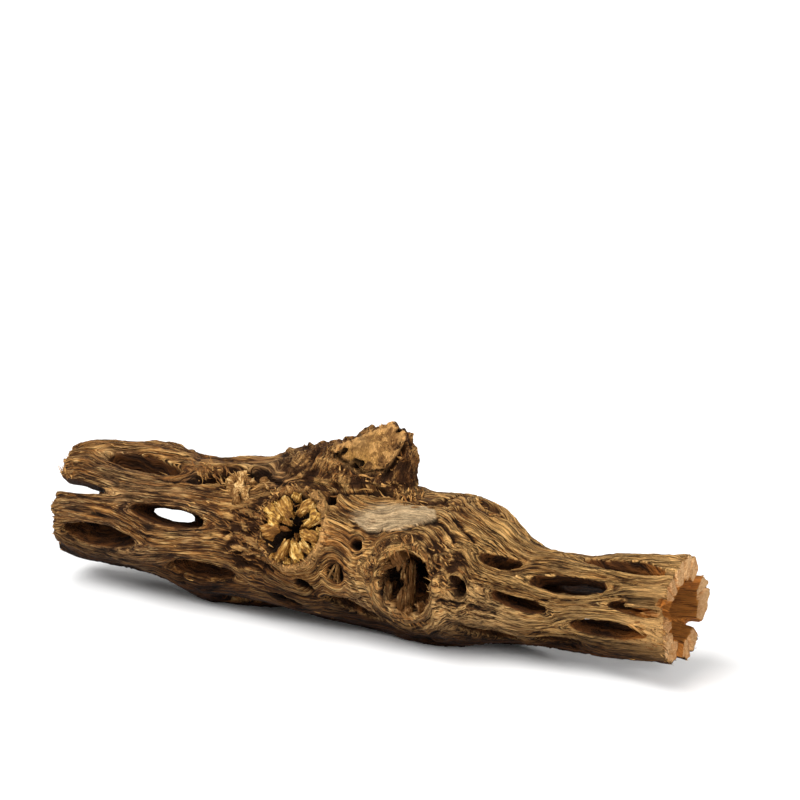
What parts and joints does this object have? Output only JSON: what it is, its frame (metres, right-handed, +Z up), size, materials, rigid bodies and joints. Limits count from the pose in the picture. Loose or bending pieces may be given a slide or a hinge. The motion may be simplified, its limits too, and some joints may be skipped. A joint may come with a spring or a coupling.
{
  "type": "cholla cactus skeleton",
  "caption": "Dry, hollow, net-like wood skeleton of a cholla limb, sawn to length, lying on its side for display, craft or tank decor.",
  "frame": {"origin": "middle of the underside, on the surface that the limb lies on", "axes": "+X along the limb towards its clean sawn end, +Z up, -Y towards the side with the two large knots"},
  "size_m": [0.1536, 0.0364, 0.0471],
  "materials": {
    "cholla_wood": "weathered bare wood, silky grain, matt"
  },
  "bodies": {
    "root": {"cholla_skeleton": "cholla_wood"}
  },
  "joints": []
}
